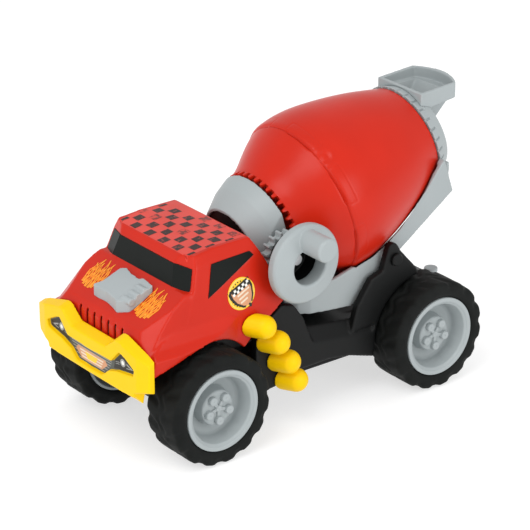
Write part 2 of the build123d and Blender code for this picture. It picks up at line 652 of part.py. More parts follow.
with BuildPart() as hopper:
    add(tray_block(0, 150.0))
    add(side_prism([(105.0, 185.0), (146.0, 187.6), (146.0, 177.6), (117.5, 174.6),
                    (114.0, 166.0), (105.0, 170.0)]), mode=Mode.INTERSECT)
    # the chute under it, down to the ring
    add(prism(across_truck(-chute_x), [(112.0, 180.0), (112.0, 166.0), (121.0, 160.5),
                                       (139.5, 178.6), (139.5, 180.0)], 2 * chute_x))
    add(ring_solid, mode=Mode.SUBTRACT)
    add(funnel.part, mode=Mode.SUBTRACT)
    add(tray_block(tray_wall, tray_floor_z), mode=Mode.SUBTRACT)
save(hopper, "hopper")

# ---- Drum ---------------------------------------------------------------------------------------
gear_tip_s, gear_root_s = pitch_s - addendum, pitch_s + dedendum
with BuildPart() as tooth:
    add(prism(Plane.YZ.offset(crown_in_r),
              [(-tooth_tip / 2, gear_tip_s), (tooth_tip / 2, gear_tip_s),
               (tooth_root / 2, gear_root_s + 0.4), (-tooth_root / 2, gear_root_s + 0.4)],
              crown_out_r - crown_in_r))
with BuildPart(across_drum(0)) as crown:
    with PolarLocations(0, crown_teeth):
        add(tooth.part)

with BuildPart() as front_half:
    add(revolved([(gear_root_s, crown_in_r), (gear_root_s, crown_out_r)] + drum_front
                 + [(37.4, 51.7), (37.4, 49.7), (seam_s, 49.7), (28.0, 47.3), (21.0, 43.3),
                    (14.0, 38.8), (8.6, 36.0), (8.6, 7.0), (hub_s, 7.0),
                    (hub_s, shaft_r + running), (gear_root_s, shaft_r + running),
                    (gear_root_s, 7.0), (6.4, 8.2), (6.4, crown_in_r)]))
    add(crown.part)
save(front_half, "drum_front_half")

with BuildPart() as rear_half:
    add(revolved(drum_rear + [(drum_end_s, neck_r), (130.0, neck_r), (130.0, neck_r - shell_t),
                              (drum_end_s - shell_t, neck_r - shell_t),
                              (drum_end_s - shell_t, 33.6), (100.0, 41.4), (80.0, 47.4),
                              (62.0, 51.4), (50.0, 52.9), (37.6, 52.6), (seam_s, 51.8)]))
save(rear_half, "drum_rear_half")

# ---- Crank --------------------------------------------------------------------------------------
shaft_x0, pinion_x0, pinion_x1 = 21.0, 33.0, 39.0
hub_x0, cup_x = 42.0, 44.0
hub_r = 14.6
cup_r = finger_r + 0.3
boss_x, boss_r_in = 50.0, 4.6
root_r, tip_r = pinion_r - dedendum + 0.2, pinion_r + addendum
crank_screw_r = 1.3
with BuildPart() as pinion:
    with BuildSketch(Plane(origin=on_crank(pinion_x0), x_dir=drum_d, z_dir=(1, 0, 0))):
        Circle(root_r)
        with PolarLocations(0, pinion_teeth, start_angle=180 / pinion_teeth):
            Polygon((root_r - 1.0, -tooth_root / 2), (root_r, -tooth_root / 2),
                    (tip_r, -tooth_tip / 2), (tip_r, tooth_tip / 2), (root_r, tooth_root / 2),
                    (root_r - 1.0, tooth_root / 2), align=None)
    extrude(amount=pinion_x1 - pinion_x0)
    add(rod(on_crank(shaft_x0), (1, 0, 0), boss_x - 2.0 - shaft_x0, shaft_r))
    add(rod(on_crank(boss_x - 8.0), (1, 0, 0), 8.0, crank_screw_r), mode=Mode.SUBTRACT)
save(pinion, "crank_pinion")

with BuildPart() as handle:
    add(rod(on_crank(crank_x0) + Vector(0, 0, handle_up), (1, 0, 0), handle_x - crank_x0,
            handle_r))
    fillet(handle.edges().filter_by(GeomType.CIRCLE).sort_by(Axis.X)[-1], 1.6)
with BuildPart() as crank:
    # a disc that rises to the lip of its finger hole
    with BuildSketch(Plane(origin=on_crank(0), x_dir=(1, 0, 0), z_dir=(0, -1, 0))):
        Polygon((crank_x0, finger_r), (crank_x0, crank_r - 1.6), (crank_x0 + 1.6, crank_r),
                (crank_x1 - 2.6, crank_r), (crank_x1 - 0.8, crank_r - 1.4),
                (crank_lip_x, finger_r + 2.0), (crank_lip_x, finger_r + 0.9),
                (crank_lip_x - 0.9, finger_r), align=None)
    revolve(axis=Axis(on_crank(0), (1, 0, 0)))
    add(handle.part)
save(crank, "crank_wheel")

# a black cup behind the disc, with a boss for the shaft
with BuildPart() as cup:
    add(rod(on_crank(hub_x0), (1, 0, 0), crank_x0 - hub_x0, hub_r))
    add(rod(on_crank(cup_x), (1, 0, 0), 40.0, cup_r), mode=Mode.SUBTRACT)
    add(rod(on_crank(cup_x), (1, 0, 0), boss_x - cup_x, boss_r_in))
    add(rod(on_crank(hub_x0), (1, 0, 0), boss_x - 2.0 - hub_x0, shaft_r), mode=Mode.SUBTRACT)
    add(rod(on_crank(hub_x0), (1, 0, 0), 20.0, crank_screw_r), mode=Mode.SUBTRACT)
save(cup, "crank_hub")

with BuildPart() as crank_screw:
    add(rod(on_crank(boss_x), (1, 0, 0), 2.0, 3.4))
    add(rod(on_crank(boss_x - 8.0), (1, 0, 0), 8.0, crank_screw_r))
save(crank_screw, "crank_screw")
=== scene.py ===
"""The toy cement mixer truck's looks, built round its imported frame.

The frame, camera and lights are in metres. Outlines and places on the truck are in millimetres, with
+Z up, the ground at Z = 0, the front towards -Y and the truck's left at +X.
"""
import json
from math import cos, floor, hypot, pi, radians, sin

import bmesh
import bpy
from mathutils import Matrix, Vector
from mathutils.bvhtree import BVHTree


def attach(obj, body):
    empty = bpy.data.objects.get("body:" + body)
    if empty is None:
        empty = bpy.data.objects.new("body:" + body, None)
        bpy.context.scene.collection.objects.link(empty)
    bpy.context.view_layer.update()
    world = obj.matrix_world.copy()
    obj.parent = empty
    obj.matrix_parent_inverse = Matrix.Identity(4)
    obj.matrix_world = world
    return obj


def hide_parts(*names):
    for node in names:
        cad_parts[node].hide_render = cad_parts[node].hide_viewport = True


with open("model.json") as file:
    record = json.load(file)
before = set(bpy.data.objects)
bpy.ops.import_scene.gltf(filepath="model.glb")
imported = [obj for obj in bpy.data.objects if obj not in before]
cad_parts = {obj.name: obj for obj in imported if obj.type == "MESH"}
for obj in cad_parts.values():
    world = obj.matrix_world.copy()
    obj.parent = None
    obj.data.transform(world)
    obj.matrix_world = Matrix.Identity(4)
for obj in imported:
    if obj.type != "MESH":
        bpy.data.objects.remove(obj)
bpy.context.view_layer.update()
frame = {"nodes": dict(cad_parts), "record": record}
nodes = frame["nodes"]
MM = 0.001

# ---- Camera, floor and light --------------------------------------------------------------------
scene = bpy.context.scene
scene.view_settings.view_transform = "Standard"
CAMERA_AT = Vector((1.23554, -0.95126, 0.76833))
CAMERA_BACK = Vector((0.7268, -0.5582, 0.4003)).normalized()
CAMERA_ROLL = radians(-0.15)
CAMERA_LENS, CAMERA_SENSOR = 180.3, 36.0
TRUCK_MIDDLE = Vector((0, 0, 0.08))
FLOOR_REACH, FLOOR_GREY, FLOOR_GLOW = 6.0, 0.5, 0.62
SURROUND_GLOW = 0.80


def make_camera():
    """A long lens at the three-quarter view of the truck's left front."""
    camera = bpy.data.objects.new("camera", bpy.data.cameras.new("camera"))
    right = Vector((0, 0, 1)).cross(CAMERA_BACK).normalized()
    up = CAMERA_BACK.cross(right)
    turn = Matrix((right, up, CAMERA_BACK)).transposed().to_4x4()
    camera.matrix_world = Matrix.Translation(CAMERA_AT) @ turn @ Matrix.Rotation(CAMERA_ROLL, 4, "Z")
    camera.data.lens = CAMERA_LENS
    camera.data.sensor_width = CAMERA_SENSOR
    camera.data.clip_end = 20.0
    scene.collection.objects.link(camera)
    scene.camera = camera


def area_light(name, at, size, power):
    """A square softbox at one point, aimed at the middle of the truck."""
    light = bpy.data.objects.new(name, bpy.data.lights.new(name, "AREA"))
    light.data.size = size
    light.data.energy = power
    light.location = at
    light.rotation_euler = (Vector(at) - TRUCK_MIDDLE).to_track_quat("Z", "Y").to_euler()
    scene.collection.objects.link(light)


def make_floor():
    """A large floor, pale and faintly glowing, so that it meets the pale surround unseen."""
    mesh = bpy.data.meshes.new("floor")
    corners = [(x * FLOOR_REACH, y * FLOOR_REACH, 0) for x, y in ((-1, -1), (1, -1), (1, 1), (-1, 1))]
    mesh.from_pydata(corners, [], [(0, 1, 2, 3)])
    ground = bpy.data.objects.new("floor", mesh)
    scene.collection.objects.link(ground)
    material = bpy.data.materials.new("floor_white")
    material.use_nodes = True
    shader = material.node_tree.nodes["Principled BSDF"]
    shader.inputs["Base Color"].default_value = (FLOOR_GREY, FLOOR_GREY, FLOOR_GREY, 1)
    shader.inputs["Roughness"].default_value = 0.9
    shader.inputs["Specular IOR Level"].default_value = 0.0
    shader.inputs["Emission Color"].default_value = (1, 1, 1, 1)
    shader.inputs["Emission Strength"].default_value = FLOOR_GLOW
    mesh.materials.append(material)


def make_light():
    """A bright white surround, a broad key from above and the left, and two weaker fills."""
    world = bpy.data.worlds.new("surround")
    world.use_nodes = True
    world.node_tree.nodes["Background"].inputs["Color"].default_value = (1, 1, 1, 1)
    world.node_tree.nodes["Background"].inputs["Strength"].default_value = SURROUND_GLOW
    scene.world = world
    area_light("key", (0.35, -0.75, 1.15), 0.7, 6.0)
    area_light("side_fill", (1.4, 0.2, 0.5), 0.8, 6.0)
    area_light("front_fill", (0.2, -1.4, 0.4), 0.8, 2.5)


# ---- Materials ----------------------------------------------------------------------------------
COLOUR_CLOUDS, GLOSS_CLOUDS, WEAR_PATCHES = 28.0, 60.0, 420.0  # per metre
GRAIN_DEPTH = 0.00008  # metres
WEAR_EDGE = 0.04  # how soft a worn patch's edge is


def noise(tree, scale, detail):
    """A cloudy pattern fixed to the object, with about scale clouds per metre."""
    place = tree.nodes.new("ShaderNodeTexCoord")
    node = tree.nodes.new("ShaderNodeTexNoise")
    node.inputs["Scale"].default_value = scale
    node.inputs["Detail"].default_value = detail
    tree.links.new(place.outputs["Object"], node.inputs["Vector"])
    return node.outputs["Fac"]


def ramp(tree, value, start, end, first, last):
    """A colour that goes from first to last as the value goes from start to end."""
    node = tree.nodes.new("ShaderNodeValToRGB")
    node.color_ramp.elements[0].position = start
    node.color_ramp.elements[1].position = end
    node.color_ramp.elements[0].color = (*first, 1)
    node.color_ramp.elements[1].color = (*last, 1)
    tree.links.new(value, node.inputs["Fac"])
    return node.outputs["Color"]


def plastic(name, colour, roughness, shade=0.06, grain=0.25, grain_mm=0.35, specular=0.3,
            worn=None, worn_above=0.6):
    """Moulded plastic: faint cloudy colour, uneven gloss, a fine grain and perhaps worn patches."""
    material = bpy.data.materials.new(name)
    material.use_nodes = True
    tree = material.node_tree
    shader = tree.nodes["Principled BSDF"]
    shader.inputs["Specular IOR Level"].default_value = specular
    dark = [c * (1 - shade) for c in colour]
    light = [min(1, c * (1 + shade)) for c in colour]
    paint = ramp(tree, noise(tree, COLOUR_CLOUDS, 3.0), 0.3, 0.7, dark, light)
    if worn:
        mix = tree.nodes.new("ShaderNodeMix")
        mix.data_type = "RGBA"
        patches = ramp(tree, noise(tree, WEAR_PATCHES, 2.0), worn_above - WEAR_EDGE,
                       worn_above + WEAR_EDGE, (0, 0, 0), (1, 1, 1))
        tree.links.new(patches, mix.inputs["Factor"])
        tree.links.new(paint, mix.inputs["A"])
        mix.inputs["B"].default_value = (*worn, 1)
        paint = mix.outputs["Result"]
    tree.links.new(paint, shader.inputs["Base Color"])
    gloss = tree.nodes.new("ShaderNodeMapRange")
    gloss.inputs["To Min"].default_value = roughness * 0.85
    gloss.inputs["To Max"].default_value = roughness * 1.2
    tree.links.new(noise(tree, GLOSS_CLOUDS, 4.0), gloss.inputs["Value"])
    tree.links.new(gloss.outputs["Result"], shader.inputs["Roughness"])
    bump = tree.nodes.new("ShaderNodeBump")
    bump.inputs["Strength"].default_value = grain
    bump.inputs["Distance"].default_value = GRAIN_DEPTH
    tree.links.new(noise(tree, 1.0 / (grain_mm * MM), 2.0), bump.inputs["Height"])
    tree.links.new(bump.outputs["Normal"], shader.inputs["Normal"])
    return material


def steel(name):
    """Plain zinc-plated steel with a faint grain."""
    material = plastic(name, (0.55, 0.55, 0.56), 0.3, shade=0.1, grain=0.3)
    material.node_tree.nodes["Principled BSDF"].inputs["Metallic"].default_value = 1.0
    return material


MATERIALS = {
    "red_plastic": plastic("red_plastic", (0.53, 0.017, 0.005), 0.3, shade=0.04, grain=0.08,
                           specular=0.2),
    "grey_plastic": plastic("grey_plastic", (0.34, 0.375, 0.382), 0.4, shade=0.03, grain=0.12),
    "engine_grey": plastic("engine_grey", (0.35, 0.385, 0.395), 0.38, shade=0.03, grain=0.12),
    "yellow_plastic": plastic("yellow_plastic", (0.88, 0.545, 0.001), 0.38, shade=0.02, grain=0.08,
                              specular=0.12),
    "black_plastic": plastic("black_plastic", (0.0045, 0.005, 0.005), 0.45, grain=0.3,
                             specular=0.18),
    "tyre_black": plastic("tyre_black", (0.0075, 0.0085, 0.008), 0.66, shade=0.3, grain=0.6,
                          grain_mm=0.5, specular=0.12),
    "window_print": plastic("window_print", (0.004, 0.006, 0.005), 0.4, specular=0.14),
    "label_print": plastic("label_print", (0.075, 0.085, 0.075), 0.35, shade=0.3),
    "badge_print": plastic("badge_print", (0.88, 0.56, 0.03), 0.4),
    "steel": steel("steel"),
    "roof_film": plastic("roof_film", (0.66, 0.055, 0.04), 0.42, shade=0.08),
    "roof_check": plastic("roof_check", (0.035, 0.014, 0.012), 0.45, shade=0.3,
                          worn=(0.22, 0.035, 0.028), worn_above=0.62),
    "roof_faded": plastic("roof_faded", (0.16, 0.03, 0.025), 0.45, shade=0.3,
                          worn=(0.55, 0.05, 0.036), worn_above=0.5),
    "flame_orange": plastic("flame_orange", (0.86, 0.22, 0.012), 0.4, shade=0.1),
    "flame_yellow": plastic("flame_yellow", (0.96, 0.38, 0.03), 0.4, shade=0.1),
    "print_black": plastic("print_black", (0.02, 0.018, 0.014), 0.4),
    "print_cream": plastic("print_cream", (0.74, 0.62, 0.48), 0.4, shade=0.1),
    "print_tan": plastic("print_tan", (0.62, 0.30, 0.16), 0.4, shade=0.15),
    "print_silver": plastic("print_silver", (0.34, 0.34, 0.33), 0.35, shade=0.2),
    "print_white": plastic("print_white", (0.80, 0.80, 0.76), 0.35, shade=0.05),
}
SLOT_OF = {row["node"]: row["material_slot"] for row in frame["record"]["subparts"]}
BODY_OF = {node: body for body, members in frame["record"]["behaviour"]["bodies"].items()
           for node in members}


# ---- Outlines, in millimetres -------------------------------------------------------------------
def rounded(outline, radius, steps=4):
    """A closed outline with each corner cut to an arc, as large as its two sides allow."""
    result = []
    for i, corner in enumerate(outline):
        corner = Vector(corner)
        before = Vector(outline[i - 1]) - corner
        after = Vector(outline[(i + 1) % len(outline)]) - corner
        reach = min(radius, 0.48 * before.length, 0.48 * after.length)
        start = corner + before.normalized() * reach
        end = corner + after.normalized() * reach
        for k in range(steps + 1):
            t = k / steps
            result.append(tuple(start * (1 - t) ** 2 + corner * 2 * t * (1 - t) + end * t ** 2))
    return result


def curve_through(points, steps):
    """A smooth line through the points, with a number of steps between each two."""
    result = []
    for i in range(len(points) - 1):
        a, b = Vector(points[max(i - 1, 0)]), Vector(points[i])
        c, d = Vector(points[i + 1]), Vector(points[min(i + 2, len(points) - 1)])
        for k in range(steps):
            t = k / steps
            result.append(tuple(0.5 * (2 * b + (c - a) * t + (2 * a - 5 * b + 4 * c - d) * t ** 2
                                       + (3 * b - a - 3 * c + d) * t ** 3)))
    return result + [tuple(points[-1])]


def stepped(value, low, high):
    """Rises smoothly from 0 at low to 1 at high."""
    t = max(0.0, min(1.0, (value - low) / (high - low)))
    return t * t * (3 - 2 * t)


# ---- Mesh helpers -------------------------------------------------------------------------------
SHARP_ANGLE, BEVEL_SEGMENTS = radians(28.0), 3
BEVEL_SHARE = 0.42  # of the neighbouring edge's length
SMOOTHING = 0.6


def add_object(name, verts, faces):
    """A new mesh object from points in metres."""
    mesh = bpy.data.meshes.new(name)
    mesh.from_pydata([tuple(v) for v in verts], [], faces)
    mesh.validate()
    piece = bpy.data.objects.new(name, mesh)
    scene.collection.objects.link(piece)
    return piece


def turned(outline, place, turns=144):
    """Points and faces of a closed outline turned round an axis; place(along, radius, angle)."""
    count = len(outline)
    verts = [place(a, r, 2 * pi * i / turns) for i in range(turns) for a, r in outline]
    faces = []
    for i in range(turns):
        for j in range(count):
            k = (j + 1) % count
            here, there = i * count, (i + 1) % turns * count
            faces.append((here + j, here + k, there + k, there + j))
    return verts, faces


def joined(name, *meshes):
    """One object from several sets of points and faces, with its faces turned outwards."""
    verts, faces = [], []
    for more_verts, more_faces in meshes:
        faces += [tuple(v + len(verts) for v in face) for face in more_faces]
        verts += list(more_verts)
    piece = add_object(name, verts, faces)
    bm = bmesh.new()
    bm.from_mesh(piece.data)
    bmesh.ops.recalc_face_normals(bm, faces=bm.faces)
    bm.to_mesh(piece.data)
    bm.free()
    return piece


def soft_box(corners, width):
    """Points and faces of a rounded six-sided block, from four bottom and four top corners."""
    bm = bmesh.new()
    points = [bm.verts.new(c) for c in corners]
    for face in ((3, 2, 1, 0), (4, 5, 6, 7), (0, 1, 5, 4), (1, 2, 6, 5), (2, 3, 7, 6), (3, 0, 4, 7)):
        bm.faces.new([points[i] for i in face])
    bmesh.ops.bevel(bm, geom=list(bm.edges), offset=width * MM, segments=2, profile=0.5,
                    affect="EDGES", clamp_overlap=True)
    bm.verts.index_update()
    result = [v.co.copy() for v in bm.verts], [tuple(v.index for v in f.verts) for f in bm.faces]
    bm.free()
    return result


def apply_modifiers(obj):
    """Bakes an object's modifiers into its mesh."""
    depsgraph = bpy.context.evaluated_depsgraph_get()
    mesh = bpy.data.meshes.new_from_object(obj.evaluated_get(depsgraph))
    obj.modifiers.clear()
    obj.data = mesh


def clean_copy(node):
    """A copy of a CAD node's mesh, as a bmesh, with its coplanar triangles merged."""
    bm = bmesh.new()
    bm.from_mesh(nodes[node].data)
    bmesh.ops.remove_doubles(bm, verts=bm.verts, dist=1e-6)
    bmesh.ops.dissolve_limit(bm, angle_limit=radians(0.2), verts=bm.verts, edges=bm.edges)
    return bm


def bevel_room(edge, sharp):
    """How far an edge may be bevelled before it meets the next edge across its faces."""
    room = 1.0
    along = (edge.verts[1].co - edge.verts[0].co).normalized()
    for vert in edge.verts:
        for other in vert.link_edges:
            if other is edge:
                continue
            way = (other.other_vert(vert).co - vert.co).normalized()
            if abs(way.dot(along)) > 0.8 and other in sharp:
                continue
            room = min(room, BEVEL_SHARE * other.calc_length())
    return room


def softened(node, width):
    """A copy of a CAD node with its sharp edges rounded to about the given width."""
    bm = clean_copy(node)
    weight = bm.edges.layers.float.new("bevel_weight_edge")
    sharp = {e for e in bm.edges if len(e.link_faces) == 2 and e.calc_face_angle(0) > SHARP_ANGLE}
    for edge in sharp:
        edge[weight] = min(1.0, bevel_room(edge, sharp) / (width * MM))
    piece = add_object(node + "_look", [], [])
    bm.to_mesh(piece.data)
    bm.free()
    bevel = piece.modifiers.new("bevel", "BEVEL")
    bevel.width = width * MM
    bevel.segments = BEVEL_SEGMENTS
    bevel.limit_method = "WEIGHT"
    bevel.use_clamp_overlap = False
    bevel.miter_outer = "MITER_ARC"
    apply_modifiers(piece)
    finish_piece(piece, node, even=True)
    return piece


def remoulded(node, voxel, rounds):
    """A copy of a CAD node with every edge and inner corner blended, as moulding leaves them."""
    bm = clean_copy(node)
    piece = add_object(node + "_look", [], [])
    bm.to_mesh(piece.data)
    bm.free()
    remesh = piece.modifiers.new("remesh", "REMESH")
    remesh.mode = "VOXEL"
    remesh.voxel_size = voxel * MM
    smooth = piece.modifiers.new("smooth", "SMOOTH")
    smooth.factor = SMOOTHING
    smooth.iterations = rounds
    apply_modifiers(piece)
    finish_piece(piece, node, limit=180.0)
    return piece


def finish_piece(piece, node, limit=38.0, even=False):
    """Shades, paints and attaches a piece that stands for a CAD node."""
    bm = bmesh.new()
    bm.from_mesh(piece.data)
    bm.normal_update()
    for face in bm.faces:
        face.smooth = True
    for edge in bm.edges:
        edge.smooth = len(edge.link_faces) == 2 and edge.calc_face_angle(0) < radians(limit)
    bm.to_mesh(piece.data)
    bm.free()
    if even:
        weigh = piece.modifiers.new("even", "WEIGHTED_NORMAL")
        weigh.keep_sharp = True
        apply_modifiers(piece)
    piece.data.materials.clear()
    piece.data.materials.append(MATERIALS[SLOT_OF[node]])
    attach(piece, BODY_OF[node])
    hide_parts(node)


# ---- Prints laid on a surface -------------------------------------------------------------------
class Sheet:
    """A flat drawing board over a surface; shapes drawn on it are dropped onto the surface."""

    DROP_FROM = 20.0  # above the board

    def __init__(self, origin, x_dir, y_dir, body, *surfaces):
        self.origin = Vector(origin) * MM
        self.x_dir = Vector(x_dir).normalized()
        self.y_dir = Vector(y_dir).normalized()
        self.normal = self.x_dir.cross(self.y_dir).normalized()
        self.body = body
        bm = bmesh.new()
        for surface in surfaces:
            bm.from_mesh(surface.data)
        bmesh.ops.triangulate(bm, faces=bm.faces)
        self.tree = BVHTree.FromBMesh(bm)
        bm.free()

    def drop(self, x, y, lift):
        """The surface's point under a point of the board, raised by lift."""
        above = self.origin + (self.x_dir * x + self.y_dir * y + self.normal * self.DROP_FROM) * MM
        spot = self.tree.ray_cast(above, -self.normal)[0]
        if spot is None:
            spot = self.origin + (self.x_dir * x + self.y_dir * y) * MM
        return spot + self.normal * lift * MM

    def print(self, name, shapes, material, lift, cell=3.0):
        """Lays closed shapes a little above the surface, in cells small enough to follow it."""
        bm = bmesh.new()
        for shape in shapes:
            bm.faces.new([bm.verts.new((x, y, 0)) for x, y in shape])
        bmesh.ops.triangulate(bm, faces=bm.faces)
        for _ in range(3):
            coarse = [e for e in bm.edges if e.calc_length() > cell]
            bmesh.ops.subdivide_edges(bm, edges=coarse, cuts=1)
            bmesh.ops.triangulate(bm, faces=bm.faces)
        for vert in bm.verts:
            vert.co = self.drop(vert.co.x, vert.co.y, lift)
        for face in bm.faces:
            face.smooth = True
            face.normal_update()
            if face.normal.dot(self.normal) < 0:
                face.normal_flip()
        piece = add_object(name, [], [])
        bm.to_mesh(piece.data)
        bm.free()
        piece.data.materials.append(MATERIALS[material])
        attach(piece, self.body)


def strip(line, width):
    """The four-sided pieces of a line with a width at each of its points."""
    shapes = []
    for i in range(len(line) - 1):
        (ax, ay), (bx, by) = line[i], line[i + 1]
        length = hypot(bx - ax, by - ay) or 1.0
        nx, ny = (by - ay) / length / 2, (ax - bx) / length / 2
        wa, wb = width(i / (len(line) - 1)), width((i + 1) / (len(line) - 1))
        shapes.append([(ax + nx * wa, ay + ny * wa), (bx + nx * wb, by + ny * wb),
                       (bx - nx * wb, by - ny * wb), (ax - nx * wa, ay - ny * wa)])
    return shapes


def disc(x, y, r, count=24):
    """A round shape."""
    return [(x + r * cos(2 * pi * i / count), y + r * sin(2 * pi * i / count))
            for i in range(count)]


def hoop(inner, outer, count=48):
    """A flat ring round the board's middle, as a run of four-sided pieces."""
    ring = []
    for i in range(count):
        a, b = 2 * pi * i / count, 2 * pi * (i + 1) / count
        ring.append([(r * cos(t), r * sin(t))
                     for r, t in ((inner, a), (outer, a), (outer, b), (inner, b))])
    return ring


make_camera()
make_floor()
make_light()

# ---- Softened CAD pieces ------------------------------------------------------------------------
BEVELS = {"tow_hook": 0.6, "base_plate": 0.3, "pivot_pin_left": 0.4, "pivot_pin_right": 0.4}
# Voxel size in millimetres, and rounds of smoothing.
MOULDED = {
    "cab_shell": (0.75, 5), "bumper": (0.5, 8), "chassis_frame": (0.9, 3),
    "cradle_frame": (0.7, 4), "hopper": (0.5, 5), "nose_housing": (0.5, 4),
    "rear_ring": (0.4, 2), "hood_engine": (0.35, 8), "crank_pinion": (0.35, 5),
    # nose_plug is a black disc set just inside the open front of the grey nose cap; its black is
    # painted shade, standing in for the shadowed inside of the cap.
    "crank_wheel": (0.45, 8), "crank_hub": (0.4, 3), "nose_plug": (0.5, 2),
    "exhaust_stack_left": (0.5, 9), "exhaust_stack_right": (0.5, 9),
}
looks = {name: softened(name, width) for name, width in BEVELS.items()}
for name, (voxel, rounds) in MOULDED.items():
    looks[name] = remoulded(name, voxel, rounds)

# ---- Wheels -------------------------------------------------------------------------------------
AXLE_Z, TYRE_R, BORE_R = 36.8, 36.8, 26.7
TYRE_IN, TYRE_OUT = 37.6, 69.3
TYRE_MIDDLE = (TYRE_IN + TYRE_OUT) / 2
SHOULDER_R, TYRE_CELL = 5.4, 0.9
BLOCKS, TURNS_PER_BLOCK = 15, 16
TREAD, GROOVE_SHARE = 1.15, 0.55
GROOVE_SWAY, GROOVE_HALF = 2.4, 3.0
BLOCK_SLANT = 0.028  # blocks per millimetre away from the middle
SIDEWALL_R, TREAD_FADE = 29.2, (30.2, 34.2)
SHOULDER_LEAN = 0.6
LUGS, LUG_RING, LUG_R, LUG_TOP = 5, 7.9, 3.0, 66.0
BOSS_TOP = 63.2
SUNK = BOSS_TOP - 1.0  # where the lugs, ribs and cap start, inside the boss
RIB_HALF, RIB_TOP = 1.2, 64.3
CAP_R, CAP_TOP = 2.6, 64.8


def wheel_place(side, y):
    """Maps (outwards, radius, angle) of a wheel to the truck's frame."""
    def place(along, radius, angle):
        return Vector((side * along, y + radius * cos(angle), AXLE_Z + radius * sin(angle))) * MM
    return place


def tread_depth(x, radius, angle):
    """How deep the tread is cut: staggered soft blocks either side of a wavy groove."""
    off = abs(x - TYRE_MIDDLE)
    turn = angle / (2 * pi) * BLOCKS
    stagger = 0.5 if x < TYRE_MIDDLE else 0.0
    share = (turn + stagger + off * BLOCK_SLANT) % 1.0
    gap = abs(share - 0.5) * 2 * pi * TYRE_R / BLOCKS
    half = 0.7 + 1.2 * stepped(off, 5.0, 14.0)
    cross = (1 - stepped(gap, half - 0.9, half + 3.4)) * stepped(off, 1.0, 5.0)
    wave = GROOVE_SWAY * cos(2 * pi * turn)
    along = 1 - stepped(abs(x - TYRE_MIDDLE - wave), 0.2, GROOVE_HALF)
    return TREAD * max(cross, GROOVE_SHARE * along) * stepped(radius, *TREAD_FADE)


def finely_divided(ring):
    """A tyre's outline with the sides that carry the tread cut into short pieces."""
    result = []
    for i, (x, r) in enumerate(ring):
        next_x, next_r = ring[(i + 1) % len(ring)]
        length = hypot(next_x - x, next_r - r)
        parts = max(1, round(length / TYRE_CELL)) if max(r, next_r) > TREAD_FADE[0] else 1
        result += [(x + (next_x - x) * k / parts, r + (next_r - r) * k / parts) for k in range(parts)]
    return result


def make_tyre(hand, end, side, y):
    """A fat tyre with rounded shoulders and chunky blocks."""
    ring = rounded([(TYRE_IN, SIDEWALL_R), (TYRE_IN + 0.3, TYRE_R), (TYRE_OUT - 0.3, TYRE_R),
                    (TYRE_OUT, SIDEWALL_R), (TYRE_OUT - 1.2, BORE_R), (TYRE_IN + 1.2, BORE_R)],
                   SHOULDER_R, 8)
    base = wheel_place(side, y)

    def place(x, r, angle):
        depth = tread_depth(x, r, angle)
        lean = stepped(abs(x - TYRE_MIDDLE), 9.0, 15.5)
        inward = depth * SHOULDER_LEAN * lean * (1 if x < TYRE_MIDDLE else -1)
        return base(x + inward, r - depth, angle)

    node = f"{end}_tyre_{hand}"
    skin = turned(finely_divided(ring), place, BLOCKS * TURNS_PER_BLOCK)
    finish_piece(joined(node + "_look", skin), node, limit=60.0)


def lug_and_rib(k, side, y):
    """One domed lug of the boss, and the rib that joins it to the middle."""
    turn = radians(360 / LUGS * k - 90)
    out = Vector((0, cos(turn), sin(turn)))
    across = Vector((0, -sin(turn), cos(turn)))
    centre = Vector((0, y, AXLE_Z))

    def place(along, radius, angle):
        spot = centre + out * (LUG_RING + radius * cos(angle)) + across * radius * sin(angle)
        return (spot + Vector((side * along, 0, 0))) * MM

    lug = rounded([(SUNK, 0.02), (SUNK, LUG_R), (LUG_TOP, LUG_R - 0.2), (LUG_TOP, 0.02)], 0.8)
    rib = [(centre + out * a + across * b + Vector((side * h, 0, 0))) * MM
           for h in (SUNK, RIB_TOP)
           for a, b in ((0, -RIB_HALF), (7.0, -RIB_HALF), (7.0, RIB_HALF), (0, RIB_HALF))]
    return [turned(lug, place, 28), soft_box(rib, 0.4)]


def make_rim(hand, end, side, y):
    """A dished rim with a lip, a boss, five domed lugs on ribs and a small centre cap."""
    base = wheel_place(side, y)
    shell = rounded([(35.6, 2.0), (35.6, 5.0), (52.0, 5.0), (52.0, 24.0), (39.0, 24.6),
                     (39.0, 26.6), (69.1, 26.6), (69.1, 24.0), (68.2, 23.3), (67.4, 22.0),
                     (57.5, 19.8), (56.0, 18.4), (55.4, 16.0), (54.5, 12.8), (62.4, 11.7),
                     (BOSS_TOP, 10.4), (BOSS_TOP, 2.0)], 0.8)
    cap = rounded([(SUNK, 0.02), (SUNK, CAP_R), (CAP_TOP, CAP_R - 0.4), (CAP_TOP, 0.02)], 0.7)
    meshes = [turned(shell, base)]
    for k in range(LUGS):
        meshes += lug_and_rib(k, side, y)
    meshes.append(turned(cap, base, 28))
    node = f"{end}_rim_{hand}"
    finish_piece(joined(node + "_look", *meshes), node)


for end, y in (("front", -87.5), ("rear", 87.5)):
    for hand, side in (("left", 1), ("right", -1)):
        make_tyre(hand, end, side, y)
        make_rim(hand, end, side, y)

# ---- Drum ---------------------------------------------------------------------------------------
TILT = radians(16.08)
DRUM_O = Vector((0, -6.48, 115.87))
DRUM_D = Vector((0, cos(TILT), sin(TILT)))
DRUM_UP = Vector((0, -sin(TILT), cos(TILT)))
LEFT = Vector((1, 0, 0))
SEAM, NEAR_SEAM_R = 34.9, 50.5
SEAM_DEPTH, SLIT_DEPTH, DIMPLE_DEPTH, TAB_DEPTH = 0.18, 0.75, 1.0, 0.22
SLIT_PITCH, FIRST_SLIT = 45.0, 16.0
DIMPLES, DIMPLE_S, DIMPLE_R = (38.5, 218.5), 38.4, 54.5
TAB_S, TAB_HALF, TAB_TURN = 39.0, 3.4, 14.0
TEETH = 40


